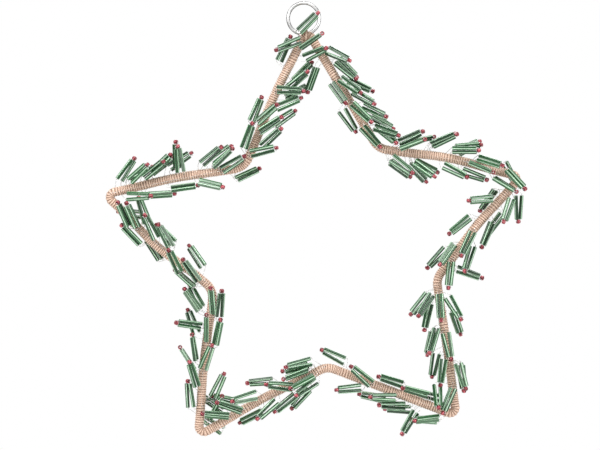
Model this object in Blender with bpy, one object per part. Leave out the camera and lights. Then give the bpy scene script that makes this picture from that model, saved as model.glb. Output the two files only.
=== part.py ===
# Hanging star: a five-pointed star of stiff wire wrapped in twine, dressed with beaded sprigs, on a metal ring.
# Metres, +Z up. The star stands upright in the XZ plane and faces -Y.
# The origin is the top of the ring's hole, where a hook carries the star.

import itertools
import math

import bmesh
import bpy
import numpy as np

MM = 0.001

# Star frame: a wire wrapped in twine.
STAR_REACH = 108.0 * MM
WRAP_DIAMETER = 4.8 * MM
TIP_BEND = 2.7 * MM
NOTCH_BEND = 9.0 * MM
WRAP_SIDES = 8
TIP_STEPS = 4
NOTCH_STEPS = 2
BOW_SHARES = (0.25, 0.5, 0.75)

# Hanging ring, tied behind the top point. RING_OVERLAP is how far the frame's top reaches above the ring's
# lowest point, and RING_ASIDE how far the top point stands to the right of the ring's middle.
RING_OUTSIDE = 17.4 * MM
RING_WIRE = 1.75 * MM
RING_OVERLAP = 2.05 * MM
RING_ASIDE = 1.4 * MM
RING_STEPS = 18
RING_SIDES = 6

# Loop of twine that ties the ring to the top point. TIE_BEHIND is the room between it and the ring's back.
TIE_TWINE = 1.3 * MM
TIE_BEHIND = 1.0 * MM
TIE_STEPS = 14
TIE_SIDES = 5

# Beads and the fine wire that carries them.
BUGLE_LENGTH = 12.2 * MM
BUGLE_DIAMETER = 2.0 * MM
SEED_DIAMETER = 2.7 * MM
SEED_LENGTH = 1.9 * MM
BEAD_WIRE = 0.4 * MM
PAIR_GAP = 0.1 * MM
TIP_WIRE = 0.2 * MM
FACET_SWELL = 1.15
GARLAND_SIDES = 4

# How the wire rises into a sprig, hooks back down out of it and necks in beside the seed bead.
ENTER_BACK = 1.8 * MM
ENTER_SLOPE = 0.35
LEAVE_AHEAD = 0.3 * MM
HOOK_BACK = 0.9 * MM
HOOK_DROP = 0.3 * MM
HOOK_SLANT = 0.4
NECK_SLANT = 1.5
NECK_SWELL = 1.6

# Room that a sprig's tapering parts are tested with, as shares of the wire's or the bugle bead's radius.
ENTER_SWELL = 1.5
TAPER_SHARE = 0.7
HOOK_SWELL = 2.5
SEED_ROUNDING = 0.2 * MM

# Clearances.
NODE_GAP = 0.3 * MM
WIRE_GAP = 0.45 * MM
SPRIG_GAP = 0.12 * MM
ROOT_RISE = 0.25 * MM

# The wire's runs between sprigs: longest step along a side, largest step round the wrap, and how it turns back
# past the last sprig of a row.
LACE_REACH = 14.0 * MM
LACE_TURN = math.radians(38)
ROW_END_REACH = 1.6 * MM
ROW_END_SPARE = 1.0 * MM
ROW_END_TURN = math.radians(40)
ROW_END_SHARE = 0.8
LACE_ADVANCE = 0.5 * MM
TRAIL_SPARE = 0.9 * MM
FIRST_SPARE = 3.5 * MM
LAST_SPARE = 0.5 * MM

# The ten corners of the star, clockwise from the top point: bearing from straight up in degrees,
# reach as a share of STAR_REACH, and the bow of the side that follows, as a share of its length.
CORNERS = (
    (-1.7, 1.000, 0.000),
    (33.7, 0.542, 0.026),
    (71.6, 1.015, -0.020),
    (105.0, 0.592, 0.004),
    (139.9, 1.032, 0.000),
    (173.4, 0.564, -0.014),
    (211.1, 1.030, 0.012),
    (245.9, 0.505, 0.028),
    (283.8, 0.997, 0.016),
    (318.9, 0.482, 0.014),
)

# Sprigs on each side of the star: where each is rooted, in percent of the side's length, and how far it leans
# off the side's direction, in degrees, outwards positive. They stand in an outer, a middle and an inner row.
SIDES = (
    ("top_right", ((21, 31), (30, 17), (47, 34), (68, 32), (78, 31), (86, 39)),
     ((63, 15),), ((27, -51), (43, 3), (63, 3))),
    ("right_upper", ((13, 36), (36, 36), (53, 20), (68, -8), (87, -45)),
     ((62, -12),), ((6, -26), (23, -33), (46, -17), (59, -8))),
    ("right_lower", ((6, 40), (13, 18), (31, 4), (85, 110)),
     ((56, 13),), ((20, 5), (27, -45), (48, -11), (78, -4))),
    ("lower_right", ((14, 22), (25, 12), (62, 7)),
     ((7, -6), (39, 3), (79, -32)), ((3, -49), (17, -20), (35, -26), (53, -17))),
    ("bottom_right", ((8, 25), (29, 81), (37, 20), (72, 24)),
     ((66, -20),), ((25, 5), (44, 2), (89, -4))),
    ("bottom_left", ((4, 6), (18, 22), (28, 11), (41, 13), (84, -56)),
     ((65, -49),), ((8, -16), (37, -22), (51, -16), (77, -60))),
    ("lower_left", ((19, 12), (34, 22), (69, 28), (75, 87), (85, 42)),
     ((46, -15), (65, 5)), ((27, -20), (63, -6), (82, 0))),
    ("left_lower", ((11, 1), (25, -24), (41, -15), (58, -5)),
     ((67, -26),), ((16, -14), (41, -22), (64, -30))),
    ("left_upper", ((11, 46), (20, 30), (36, 25), (54, 82), (71, 29)),
     ((84, 21),), ((16, -10), (30, -7), (47, -3), (67, -24), (93, 15))),
    ("top_left", ((10, 4), (73, 0)),
     ((25, -34), (55, -69), (86, -32), (91, 136)), ((17, -24), (34, -32), (59, -27), (82, -44))),
)

# The three rows of sprigs, in the order the wire runs: turn round the wrap from outwards to the front and its
# swing, rise towards the front and its swing, all in degrees, and which way the wire runs along the side.
ROWS = ((20, 30, 2, 22, 1), (90, 0, 8, 6, -1), (160, -30, 2, 22, 1))
ROLL_SWING = 35

# Ways that a sprig may give way to its neighbours: changes of turn, rise and roll in degrees, lift off the wrap
# and slide along the side, and how much of each counts as one step away from the wanted place.
TRY_TURNS = (0, -15, 15, -30, 30, 45)
TRY_RISES = (0, -8, 8, -16, 16, -24, 24, 34)
TRY_ROLLS = (0, 40, -40, 80)
TRY_LIFTS = (0.0 * MM, 0.8 * MM, 1.8 * MM)
TRY_SLIDES = (0.0 * MM, -1.0 * MM, 1.0 * MM, -2.0 * MM, 2.0 * MM, 3.5 * MM)
TURN_WORTH = 18
RISE_WORTH = 9
ROLL_WORTH = 60
LIFT_WORTH = 0.65 * MM
SLIDE_WORTH = 0.4 * MM

# Colour, roughness and metallic of each material.
TWINE_FINISH = ((0.60, 0.42, 0.27), 0.85, 0.0)
GLASS_FINISH = ((0.05, 0.25, 0.09), 0.15, 0.0)
METAL_FINISH = ((0.75, 0.75, 0.76), 0.2, 1.0)
SMOOTH_UNDER = 40
GARLAND_SMOOTH_UNDER = 20

FRONT = np.array((0.0, -1.0, 0.0))
UP = np.array((0.0, 0.0, 1.0))
RIGHT = np.array((1.0, 0.0, 0.0))
GOLDEN_TURN = math.pi * (3.0 - math.sqrt(5.0))
TINY = 1e-18
TINY_SPREAD = 1e-20
TINY_TURN = 1e-9
LEAST_FLAT = 0.1

WRAP_RADIUS = WRAP_DIAMETER / 2
RING_RADIUS = (RING_OUTSIDE - RING_WIRE) / 2
WIRE_RADIUS = BEAD_WIRE / 2
BUGLE_RADIUS = BUGLE_DIAMETER / 2 * FACET_SWELL
SEED_RADIUS = SEED_DIAMETER / 2
PAIR_HALF = (BUGLE_DIAMETER + PAIR_GAP) / 2
SEED_RISE = BUGLE_LENGTH + TIP_WIRE + SEED_RADIUS
NEAR_REACH = 2 * SEED_RISE
LACE_RADIUS = WRAP_RADIUS + WIRE_GAP + WIRE_RADIUS
WIRE_LANE = WIRE_GAP + BEAD_WIRE
STAR_FORWARD = WRAP_RADIUS + NODE_GAP + RING_WIRE / 2
RING_HUB = np.array((0.0, 0.0, RING_WIRE - RING_OUTSIDE / 2))


def unit(vector):
    return vector / np.linalg.norm(vector)


def polar(bearing, reach):
    angle = math.radians(bearing)
    return np.array((math.sin(angle) * reach, 0.0, math.cos(angle) * reach))


def star_corners():
    # The bend of the top point stands in front of the ring's lowest part, which fixes where the star hangs.
    shape = [polar(bearing, share * STAR_REACH) for bearing, share, bow in CORNERS]
    sharp_rise = TIP_BEND * (1 / math.sin(corner_angle(shape, 0) / 2) - 1)
    bend_top = RING_WIRE - RING_OUTSIDE + RING_OVERLAP - WRAP_RADIUS
    tip = np.array((RING_ASIDE, -STAR_FORWARD, bend_top + sharp_rise))
    return [point - shape[0] + tip for point in shape]


def corner_angle(corners, index):
    back = unit(corners[index - 1] - corners[index])
    ahead = unit(corners[(index + 1) % len(corners)] - corners[index])
    return math.acos(float(np.clip(np.dot(back, ahead), -1, 1)))


def corner_bend(index):
    return TIP_BEND if index % 2 == 0 else NOTCH_BEND


def corner_trim(corners, index):
    # Distance from the sharp corner to where its bend begins.
    return corner_bend(index) / math.tan(corner_angle(corners, index) / 2)


class Side:
    # One side of the star, from a corner to the next one clockwise.
    def __init__(self, corners, index):
        self.start = corners[index]
        self.end = corners[(index + 1) % len(corners)]
        self.length = float(np.linalg.norm(self.end - self.start))
        self.along = unit(self.end - self.start)
        self.outward = np.cross(FRONT, self.along)
        self.bow = CORNERS[index][2] * self.length
        self.first = corner_trim(corners, index)
        self.last = self.length - corner_trim(corners, (index + 1) % len(corners))

    def centre(self, station):
        # A bow that fades out smoothly towards both bends.
        share = min(max((station - self.first) / (self.last - self.first), 0.0), 1.0)
        return self.start + self.along * station + self.outward * self.bow * math.sin(math.pi * share) ** 2

    def radial(self, turn):
        return self.outward * math.cos(turn) + FRONT * math.sin(turn)

    def lace(self, station, turn, lift=0.0):
        # A point of the bead wire, which lies on the wrap at a station and a turn round it.
        return self.centre(station) + self.radial(turn) * (LACE_RADIUS + lift)


def frame_path(corners, sides):
    # Centre line of the wrapped frame: the bowed sides, joined by arcs at the corners.
    points = []
    for index, side in enumerate(sides):
        before = sides[index - 1]
        bend = corner_bend(index)
        middle = unit(side.along - before.along)
        hub = corners[index] + middle * bend / math.sin(corner_angle(corners, index) / 2)
        first = corners[index] - before.along * corner_trim(corners, index) - hub
        last = corners[index] + side.along * corner_trim(corners, index) - hub
        sweep = math.acos(float(np.clip(np.dot(unit(first), unit(last)), -1, 1)))
        steps = TIP_STEPS if index % 2 == 0 else NOTCH_STEPS
        for step in range(steps + 1):
            share = step / steps
            spoke = first * math.sin((1 - share) * sweep) + last * math.sin(share * sweep)
            points.append(hub + spoke / math.sin(sweep))
        for share in BOW_SHARES:
            points.append(side.centre(side.first + (side.last - side.first) * share))
    return points


def segment_gaps(starts_a, ends_a, starts_b, ends_b):
    # Shortest distance between each segment of the first set and each of the second.
    p = starts_a[:, None, :]
    q = starts_b[None, :, :]
    u = (ends_a - starts_a)[:, None, :]
    v = (ends_b - starts_b)[None, :, :]
    r = p - q
    a = np.sum(u * u, axis=2) + TINY
    e = np.sum(v * v, axis=2) + TINY
    b = np.sum(u * v, axis=2)
    c = np.sum(u * r, axis=2)
    f = np.sum(v * r, axis=2)
    spread = a * e - b * b
    crossing = np.clip((b * f - c * e) / np.maximum(spread, TINY_SPREAD), 0, 1)
    s = np.where(spread > TINY_SPREAD, crossing, 0.0)
    t = (b * s + f) / e
    s = np.where(t < 0, np.clip(-c / a, 0, 1), np.where(t > 1, np.clip((b - c) / a, 0, 1), s))
    t = np.clip(t, 0, 1)
    gap = r + u * s[..., None] - v * t[..., None]
    return np.linalg.norm(gap, axis=2)


class Space:
    # What is already placed, as round-ended rods.
    def __init__(self):
        self.starts = np.zeros((0, 3))
        self.ends = np.zeros((0, 3))
        self.radii = np.zeros(0)

    def add(self, rods):
        self.starts = np.vstack([self.starts] + [rod[0] for rod in rods])
        self.ends = np.vstack([self.ends] + [rod[1] for rod in rods])
        self.radii = np.concatenate([self.radii, [rod[2] for rod in rods]])

    def near(self, point, reach):
        middle = (self.starts + self.ends) / 2
        half = np.linalg.norm(self.ends - self.starts, axis=1) / 2
        close = np.linalg.norm(middle - point, axis=1) - half < reach
        return self.starts[close], self.ends[close], self.radii[close]


def room(rods, others):
    starts, ends, radii = others
    if len(radii) == 0:
        return 1.0
    gaps = segment_gaps(np.array([rod[0] for rod in rods]), np.array([rod[1] for rod in rods]), starts, ends)
    own = np.array([rod[2] for rod in rods])
    return float(np.min(gaps - own[:, None] - radii[None, :]))


class Sprig:
    # Two bugle beads side by side and a seed bead across their tips, on one loop of the wire.
    def __init__(self, side, station, turn, lean, rise, roll, lift):
        self.side = side
        self.station = station
        self.turn = turn
        up = side.radial(turn)
        flat = side.along * math.cos(lean) + side.outward * math.sin(lean)
        self.aim = unit(flat * math.cos(rise) + FRONT * math.sin(rise))
        across = unit(np.cross(self.aim, FRONT))
        third = np.cross(self.aim, across)
        pair = across * math.cos(roll) + third * math.sin(roll)
        if np.dot(pair, up) > 0:
            pair = -pair
        self.pair = pair
        stack = PAIR_HALF * abs(float(np.dot(pair, up)))
        height = stack + BUGLE_RADIUS + WIRE_RADIUS + ROOT_RISE + lift
        self.root = side.lace(station, turn, height)
        self.first = self.root - pair * PAIR_HALF
        self.second = self.root + pair * PAIR_HALF
        self.seed = self.root + self.aim * SEED_RISE
        self.enter_station = station - ENTER_BACK - ENTER_SLOPE * (height + stack)
        self.leave_station = station + LEAVE_AHEAD
        self.enter = side.lace(self.enter_station, turn)
        self.leave = side.lace(self.leave_station, turn)
        self.hook = self.second - self.aim * HOOK_BACK - up * HOOK_DROP
        self.hook_way = unit(-up - self.aim * HOOK_SLANT)

    def rods(self):
        far = self.aim * BUGLE_LENGTH
        half_seed = self.pair * (SEED_LENGTH / 2 - SEED_ROUNDING)
        return [
            (self.first, self.first + far, BUGLE_RADIUS),
            (self.second, self.second + far, BUGLE_RADIUS),
            (self.seed - half_seed, self.seed + half_seed, SEED_RADIUS),
            (self.enter, (self.enter + self.first) / 2, WIRE_RADIUS * ENTER_SWELL),
            ((self.enter + self.first) / 2, self.first, BUGLE_RADIUS * TAPER_SHARE),
            (self.second, self.hook, WIRE_RADIUS * HOOK_SWELL),
            (self.hook, self.leave, WIRE_RADIUS),
        ]

    def rings(self):
        # Rings of the sprig's part of the wire: centre, way forward, radius and a direction for a flat face.
        far = self.aim * BUGLE_LENGTH
        tip = self.seed
        hole = self.pair * (SEED_LENGTH / 2)
        return [
            (self.enter, self.side.along, WIRE_RADIUS, self.pair),
            (self.first, self.aim, BUGLE_RADIUS, self.pair),
            (self.first + far, self.aim, BUGLE_RADIUS, self.pair),
            (tip - hole, unit(self.aim + self.pair * NECK_SLANT), WIRE_RADIUS * NECK_SWELL, self.aim),
            (tip, self.pair, SEED_RADIUS, self.aim),
            (tip + hole, unit(self.pair * NECK_SLANT - self.aim), WIRE_RADIUS * NECK_SWELL, self.aim),
            (self.second + far, -self.aim, BUGLE_RADIUS, self.pair),
            (self.second, -self.aim, BUGLE_RADIUS, self.pair),
            (self.hook, self.hook_way, WIRE_RADIUS, self.pair),
            (self.leave, self.side.along, WIRE_RADIUS, self.pair),
        ]


def lace_run(side, start, end, way):
    # Wire on the wrap from one station and turn to another, with more points where it goes round the wrap.
    # way says which end of the side it goes round at, or 0 where it keeps its direction.
    (station_a, turn_a), (station_b, turn_b) = start, end
    points = []
    if way:
        edge = (max if way > 0 else min)(station_a, station_b) + way * ROW_END_REACH
        edge = min(max(edge, side.first - ROW_END_SPARE), side.last + ROW_END_SPARE)
        steps = max(2, math.ceil(abs(turn_b - turn_a) / ROW_END_TURN))
        for step in range(steps + 1):
            share = (step + 0.5) / (steps + 1) * ROW_END_SHARE
            points.append((edge, turn_a + (turn_b - turn_a) * share))
        station_a, turn_a = points[-1]
    round_steps = math.ceil(abs(turn_b - turn_a) / LACE_TURN)
    steps = max(round_steps, math.ceil(abs(station_b - station_a) / LACE_REACH))
    for step in range(1, steps):
        share = step / steps
        points.append((station_a + (station_b - station_a) * share, turn_a + (turn_b - turn_a) * share))
    return [side.lace(station, turn) for station, turn in points]


def rows_in_order(outer, middle, inner):
    # The wire runs up the outer row, back down the middle one and up the inner one.
    for plan, row in zip((outer, middle, inner), ROWS):
        for share, lean in (plan if row[-1] > 0 else plan[::-1]):
            yield share, lean, *row


def place_sprig(side, frame, space, before, plan, index):
    # Tries ways to stand the sprig, nearest to the wanted one first, and takes the first that is clear.
    share, lean, turn, turn_swing, rise, rise_swing, way = plan
    swing = math.cos(index * GOLDEN_TURN)
    roll = ROLL_SWING * math.sin(index * GOLDEN_TURN)
    station = min(max(share / 100 * side.length, side.first + FIRST_SPARE), side.last - LAST_SPARE)
    others = space.near(side.centre(station), NEAR_REACH)
    wrap = frame.near(side.centre(station), NEAR_REACH)
    tries = []
    for d_turn, d_rise, d_roll, lift, slide in itertools.product(
            TRY_TURNS, TRY_RISES, TRY_ROLLS, TRY_LIFTS, TRY_SLIDES):
        tilts = abs(d_turn) / TURN_WORTH + abs(d_rise) / RISE_WORTH + abs(d_roll) / ROLL_WORTH
        cost = tilts + lift / LIFT_WORTH + abs(slide) / SLIDE_WORTH
        tries.append((cost, d_turn, d_rise, d_roll, lift, slide))
    tries.sort(key=lambda row: row[0])
    best = None
    for cost, d_turn, d_rise, d_roll, lift, slide in tries:
        sprig = Sprig(side, station + slide, math.radians(turn + turn_swing * swing + d_turn),
                      math.radians(lean), math.radians(rise + rise_swing * swing + d_rise),
                      math.radians(roll + d_roll), lift)
        ends = (sprig.enter_station, sprig.leave_station)
        entry = (ends[0] if way > 0 else ends[1], sprig.turn)
        lace = []
        if before:
            turning = 0 if before[2] == way else before[2]
            lace = lace_run(side, before[:2], entry, turning)
            trail = [side.lace(*before[:2])] + lace + [side.lace(*entry)]
            trail[0] = trail[0] + unit(trail[1] - trail[0]) * TRAIL_SPARE
        rods = sprig.rods()
        if before:
            rods += [(trail[k], trail[k + 1], WIRE_RADIUS) for k in range(len(trail) - 1)]
        clear = min(room(rods, others), room(rods[3:], wrap), room(rods[:3], wrap) - WIRE_LANE)
        if before and not turning:
            clear = min(clear, (entry[0] - before[0]) * way - LACE_ADVANCE)
        if best is None or clear > best[0]:
            best = (clear, sprig, lace, rods)
        if clear > SPRIG_GAP:
            break
    clear, sprig, lace, rods = best
    out_station = sprig.leave_station if way > 0 else sprig.enter_station
    return sprig, lace, rods, (out_station, sprig.turn, way), clear


def garland_rings(side, plans, frame, space, index):
    # Rings of one side's whole wire, with every sprig on it.
    rings = []
    before = None
    tightest = 1.0
    for plan in plans:
        sprig, lace, rods, before, clear = place_sprig(side, frame, space, before, plan, index)
        index += 1
        tightest = min(tightest, clear)
        space.add(rods)
        own = sprig.rings()
        if plan[-1] < 0:
            own = [(centre, -way, radius, face) for centre, way, radius, face in own[::-1]]
        trail = ([rings[-1][0]] if rings else []) + lace + [own[0][0]]
        for k in range(1, len(trail) - 1):
            way = unit(unit(trail[k] - trail[k - 1]) + unit(trail[k + 1] - trail[k]))
            rings.append((trail[k], way, WIRE_RADIUS, FRONT))
        rings += own
    return rings, index, tightest


def ring_points(ring, sides, roll=0.5):
    # Corners of one ring, with a flat face towards the ring's own direction.
    centre, way, radius, face = ring
    way = unit(way)
    flat = face - way * np.dot(face, way)
    if np.linalg.norm(flat) < LEAST_FLAT:
        flat = np.cross(way, UP)
    flat = unit(flat)
    other = np.cross(way, flat)
    angles = (np.arange(sides) + roll) * 2 * math.pi / sides
    return centre + radius * (np.outer(np.cos(angles), flat) + np.outer(np.sin(angles), other))


def turned(points, way_from, way_to, hub_from, hub_to):
    # A ring's corners carried to the next ring by the smallest turn.
    axis = np.cross(way_from, way_to)
    size = np.linalg.norm(axis)
    spokes = points - hub_from
    if size > TINY_TURN:
        axis = axis / size
        angle = math.atan2(size, float(np.dot(way_from, way_to)))
        spokes = (spokes * math.cos(angle) + np.cross(axis, spokes) * math.sin(angle)
                  + np.outer(spokes @ axis, axis) * (1 - math.cos(angle)))
    return spokes + hub_to


def tube_mesh(name, rings, sides, closed):
    # A tube through the rings, its corners matched so that it twists as little as it can.
    loops = [ring_points(rings[0], sides)]
    for k in range(1, len(rings)):
        points = ring_points(rings[k], sides)
        carried = turned(loops[-1], unit(rings[k - 1][1]), unit(rings[k][1]), rings[k - 1][0], rings[k][0])
        size = rings[k][2] / rings[k - 1][2]
        carried = rings[k][0] + (carried - rings[k][0]) * size
        misses = [float(np.sum((np.roll(points, -shift, axis=0) - carried) ** 2)) for shift in range(sides)]
        loops.append(np.roll(points, -int(np.argmin(misses)), axis=0))
    mesh = bmesh.new()
    rows = [[mesh.verts.new(tuple(point)) for point in loop] for loop in loops]
    pairs = list(zip(rows[:-1], rows[1:]))
    for low, high in pairs:
        for k in range(sides):
            mesh.faces.new((low[k], low[(k + 1) % sides], high[(k + 1) % sides], high[k]))
    if closed:
        bridge_ends(mesh, rows, loops, sides)
    else:
        mesh.faces.new(rows[0][::-1])
        mesh.faces.new(rows[-1])
    data = bpy.data.meshes.new(name)
    mesh.normal_update()
    mesh.to_mesh(data)
    mesh.free()
    return data


def bridge_ends(mesh, rows, loops, sides):
    # Joins the last ring of a closed tube to the first, at the shift that twists least.
    misses = [float(np.sum((np.roll(loops[0], -shift, axis=0) - loops[-1]) ** 2)) for shift in range(sides)]
    shift = int(np.argmin(misses))
    low = rows[-1]
    high = rows[0][shift:] + rows[0][:shift]
    for k in range(sides):
        ahead = (k + 1) % sides
        mesh.faces.new((low[k], low[ahead], high[ahead], high[k]))


def material(name, colour, roughness, metallic):
    made = bpy.data.materials.new(name)
    made.use_nodes = True
    shader = made.node_tree.nodes["Principled BSDF"]
    shader.inputs["Base Color"].default_value = (*colour, 1.0)
    shader.inputs["Roughness"].default_value = roughness
    shader.inputs["Metallic"].default_value = metallic
    made.diffuse_color = (*colour, 1.0)
    return made


def add_object(name, data, finish, smooth_under=SMOOTH_UNDER):
    data.materials.append(finish)
    data.shade_smooth()
    data.set_sharp_from_angle(angle=math.radians(smooth_under))
    made = bpy.data.objects.new(name, data)
    bpy.context.collection.objects.link(made)
    return made


def closed_tube(name, path, radius, sides, face):
    rings = []
    for k, point in enumerate(path):
        ahead = path[(k + 1) % len(path)]
        way = unit(unit(point - path[k - 1]) + unit(ahead - point))
        rings.append((point, way, radius, face))
    return tube_mesh(name, rings, sides, True)


def ring_path():
    angles = np.arange(RING_STEPS) * 2 * math.pi / RING_STEPS
    return [RING_HUB + polar(math.degrees(angle), RING_RADIUS) for angle in angles]


def tie_path(corners):
    # An upright oval through the ring and through the crook of the top point, round both of them.
    reach = TIE_TWINE / 2 + NODE_GAP
    half_angle = corner_angle(corners, 0) / 2
    bend_hub = corners[0][2] - TIP_BEND / math.sin(half_angle)
    crook = max(WRAP_RADIUS + reach - TIP_BEND, 0.0) / math.sin(half_angle) + NODE_GAP
    low = bend_hub - crook
    high = bend_hub + TIP_BEND + WRAP_RADIUS + reach + NODE_GAP
    front = -STAR_FORWARD - WRAP_RADIUS - reach - NODE_GAP
    back = RING_WIRE / 2 + reach + TIE_BEHIND
    middle = np.array((corners[0][0], (front + back) / 2, (low + high) / 2))
    across = np.array((0.0, (back - front) / 2, 0.0))
    upright = np.array((0.0, 0.0, (high - low) / 2))
    angles = np.arange(TIE_STEPS) * 2 * math.pi / TIE_STEPS
    return [middle + across * math.cos(angle) + upright * math.sin(angle) for angle in angles]


def clear_scene():
    for item in list(bpy.data.objects):
        bpy.data.objects.remove(item, do_unlink=True)


def main():
    clear_scene()
    corners = star_corners()
    sides = [Side(corners, index) for index in range(len(corners))]
    path = frame_path(corners, sides)
    twine = material("twine", *TWINE_FINISH)
    glass = material("green_glass", *GLASS_FINISH)
    metal = material("ring_metal", *METAL_FINISH)
    frame = Space()
    space = Space()
    for name, line, radius, steps, finish in (
            ("wrapped_frame", path, WRAP_RADIUS, WRAP_SIDES, twine),
            ("hanging_ring", ring_path(), RING_WIRE / 2, RING_SIDES, metal),
            ("ring_tie", tie_path(corners), TIE_TWINE / 2, TIE_SIDES, twine)):
        face = RIGHT if name == "ring_tie" else FRONT
        add_object(name, closed_tube(name, line, radius, steps, face), finish)
        taken = frame if name == "wrapped_frame" else space
        taken.add([(line[k - 1], line[k], radius) for k in range(len(line))])
    index = 0
    for side, (name, outer, middle, inner) in zip(sides, SIDES):
        plans = list(rows_in_order(outer, middle, inner))
        rings, index, tightest = garland_rings(side, plans, frame, space, index)
        data = tube_mesh("garland_" + name, rings, GARLAND_SIDES, False)
        add_object("garland_" + name, data, glass, GARLAND_SMOOTH_UNDER)
        print(name, len(plans), "sprigs, tightest gap", round(tightest / MM, 2), "mm")


main()
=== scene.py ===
# The looks of a hanging star: wound twine, glass beads on fine silver wire, and a polished ring.
import itertools
import math

import bpy
import numpy as np
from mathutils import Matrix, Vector


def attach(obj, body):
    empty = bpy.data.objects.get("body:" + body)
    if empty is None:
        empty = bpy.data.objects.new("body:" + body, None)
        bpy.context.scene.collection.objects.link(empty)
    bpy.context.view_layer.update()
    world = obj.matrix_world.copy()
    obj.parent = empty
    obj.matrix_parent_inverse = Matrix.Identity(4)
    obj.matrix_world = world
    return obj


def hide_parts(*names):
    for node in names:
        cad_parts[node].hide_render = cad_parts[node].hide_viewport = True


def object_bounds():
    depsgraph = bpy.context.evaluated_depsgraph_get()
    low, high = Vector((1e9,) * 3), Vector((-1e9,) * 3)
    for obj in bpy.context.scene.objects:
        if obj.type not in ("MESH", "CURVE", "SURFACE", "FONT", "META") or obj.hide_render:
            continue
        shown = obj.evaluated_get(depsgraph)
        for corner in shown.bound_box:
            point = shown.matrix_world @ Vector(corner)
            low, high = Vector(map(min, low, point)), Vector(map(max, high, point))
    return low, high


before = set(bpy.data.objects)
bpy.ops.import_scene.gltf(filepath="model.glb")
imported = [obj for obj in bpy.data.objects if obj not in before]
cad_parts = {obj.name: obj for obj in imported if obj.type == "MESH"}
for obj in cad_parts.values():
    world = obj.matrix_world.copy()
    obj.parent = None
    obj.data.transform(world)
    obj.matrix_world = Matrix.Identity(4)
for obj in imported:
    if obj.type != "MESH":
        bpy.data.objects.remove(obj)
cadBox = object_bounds()
print("frame loaded")

mm = 0.001
front = np.array((0.0, -1.0, 0.0))
right = np.array((1.0, 0.0, 0.0))
goldenTurn = math.pi * (3 - math.sqrt(5))
tiny = 1e-18
tinySpread = 1e-20

star = {
    "reach": 108.0 * mm,
    "wrapDiameter": 4.8 * mm,
    "tipBend": 2.7 * mm,
    "notchBend": 9.0 * mm,
    # bearing from straight up in degrees, share of the reach, bow of the side that follows
    "corners": (
        (-1.7, 1.000, 0.000), (33.7, 0.542, 0.026), (71.6, 1.015, -0.020), (105.0, 0.592, 0.004),
        (139.9, 1.032, 0.000), (173.4, 0.564, -0.014), (211.1, 1.030, 0.012), (245.9, 0.505, 0.028),
        (283.8, 0.997, 0.016), (318.9, 0.482, 0.014)),
}
hangingRing = {"outside": 17.4 * mm, "wire": 1.75 * mm, "overlap": 2.05 * mm, "aside": 1.4 * mm,
               "around": 128, "section": 20}
beads = {
    "bugleLength": 12.2 * mm, "bugleDiameter": 2.0 * mm, "bugleHole": 0.8 * mm, "bugleSides": 12,
    "seedDiameter": 2.7 * mm, "seedLength": 1.9 * mm, "seedHole": 0.8 * mm, "seedAround": 10, "seedSection": 6,
    "wire": 0.4 * mm, "pairGap": 0.1 * mm, "tipWire": 0.2 * mm,
    "cutOutside": 1.98 * mm, "seedOutside": 2.3 * mm, "seedNestle": 0.3 * mm, "shortest": 0.965,
    "sharpAt": 40, "dice": 11,
}
fits = {"node": 0.3 * mm, "wire": 0.45 * mm, "sprig": 0.12 * mm, "rootRise": 0.25 * mm, "facetSwell": 1.15}

wrapRadius = star["wrapDiameter"] / 2
wireRadius = beads["wire"] / 2
roomRadius = beads["bugleDiameter"] / 2 * fits["facetSwell"]
seedRadius = beads["seedDiameter"] / 2
pairHalf = (beads["bugleDiameter"] + beads["pairGap"]) / 2
seedRise = beads["bugleLength"] + beads["tipWire"] + seedRadius
laceRadius = wrapRadius + fits["wire"] + wireRadius
wireLane = fits["wire"] + beads["wire"]
starForward = wrapRadius + fits["node"] + hangingRing["wire"] / 2
nearReach = 2 * seedRise

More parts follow.
